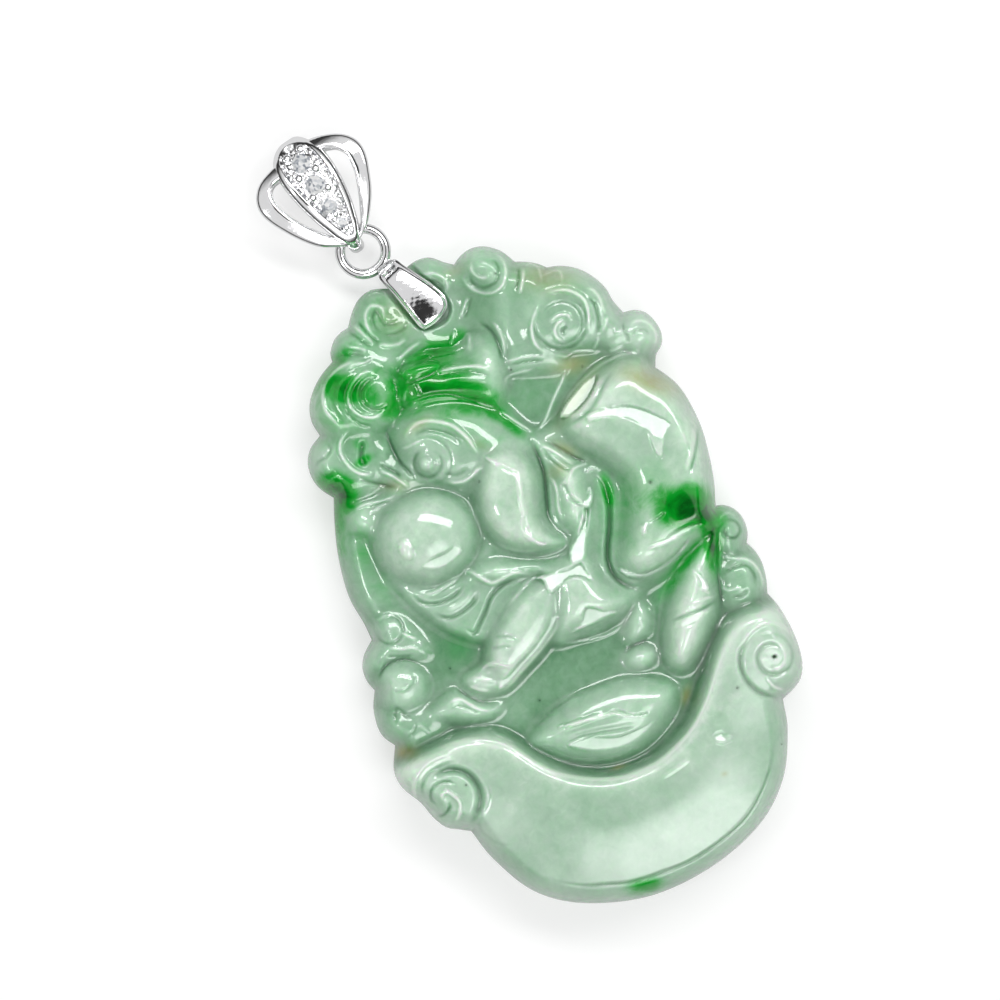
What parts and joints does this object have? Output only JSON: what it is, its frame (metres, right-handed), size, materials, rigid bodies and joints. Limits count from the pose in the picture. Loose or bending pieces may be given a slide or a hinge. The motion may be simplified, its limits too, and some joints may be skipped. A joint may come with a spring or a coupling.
{
  "type": "jade pig pendant with silver bail",
  "caption": "Oval green jadeite pendant carved in relief with a pig on an ingot among clouds, on a silver pinch clip and an openwork pave bail.",
  "frame": {"origin": "on the flat back of the carving, under the middle of its width and length", "axes": "+Z out of the carved face, +Y along the carving towards the bail, +X to the right seen from the front"},
  "size_m": [0.031, 0.0619, 0.009],
  "materials": {
    "jade": "polished translucent",
    "silver": "bright polished",
    "stone": "clear cut"
  },
  "bodies": {
    "root": {"jade_carving": "jade", "pinch_bail": "silver", "tulip_bail": "silver", "pave_stone_1": "stone", "pave_stone_2": "stone", "pave_stone_3": "stone", "pave_stone_4": "stone"}
  },
  "joints": []
}
